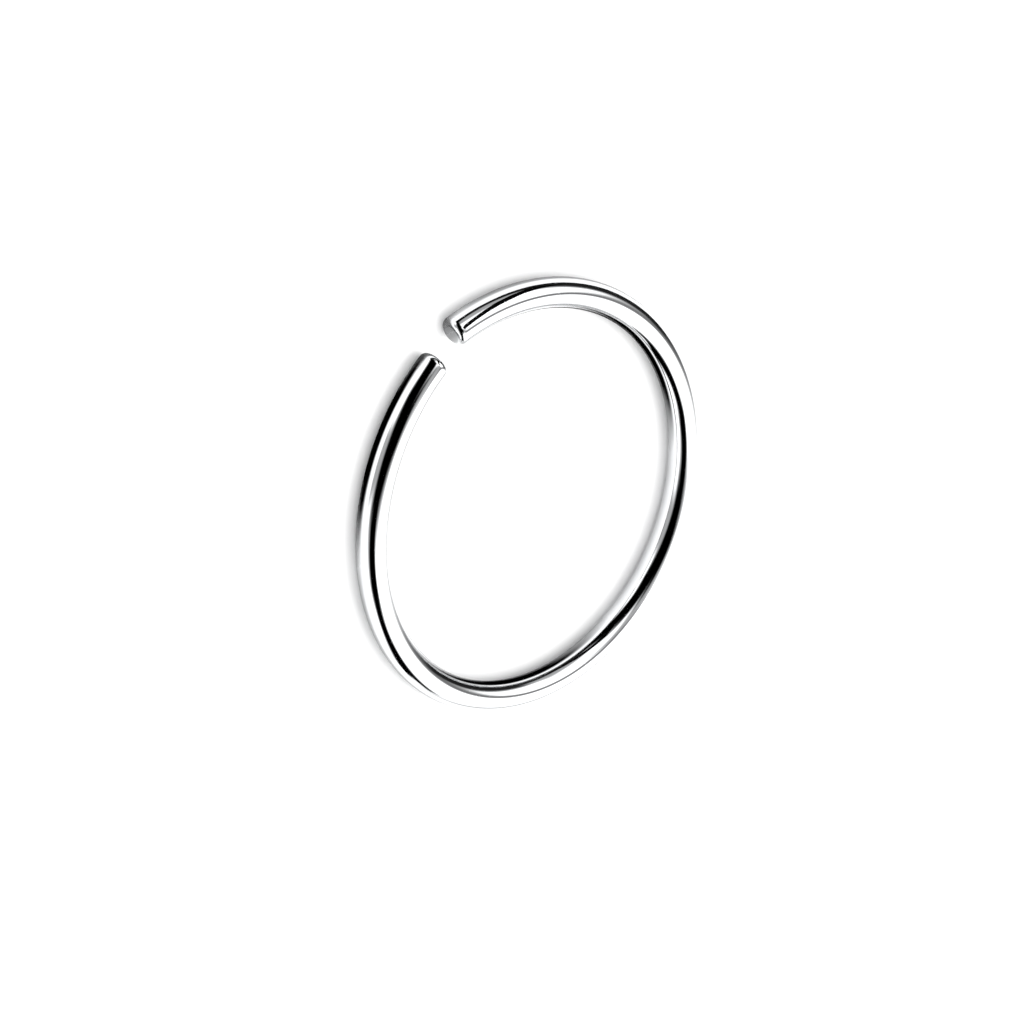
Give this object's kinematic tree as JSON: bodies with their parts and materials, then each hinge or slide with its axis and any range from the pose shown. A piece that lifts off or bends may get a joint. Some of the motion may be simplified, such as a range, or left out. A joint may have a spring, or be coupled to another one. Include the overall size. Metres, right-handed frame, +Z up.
{
  "type": "nose ring",
  "caption": "Plain open hoop of round polished wire, lying flat, with a narrow gap between its two rounded ends.",
  "frame": {"origin": "under the middle of the hoop's box, on the surface that the hoop lies on", "axes": "+Z up, through the ring's hollow; +X towards the gap between the wire's ends; +Y towards the left arm, the one that is bent less wide"},
  "size_m": [0.012, 0.0116, 0.0008],
  "materials": {
    "polished_steel": "mirror-polished stainless steel wire, silver-coloured"
  },
  "bodies": {
    "root": {"hoop": "polished_steel"}
  },
  "joints": []
}
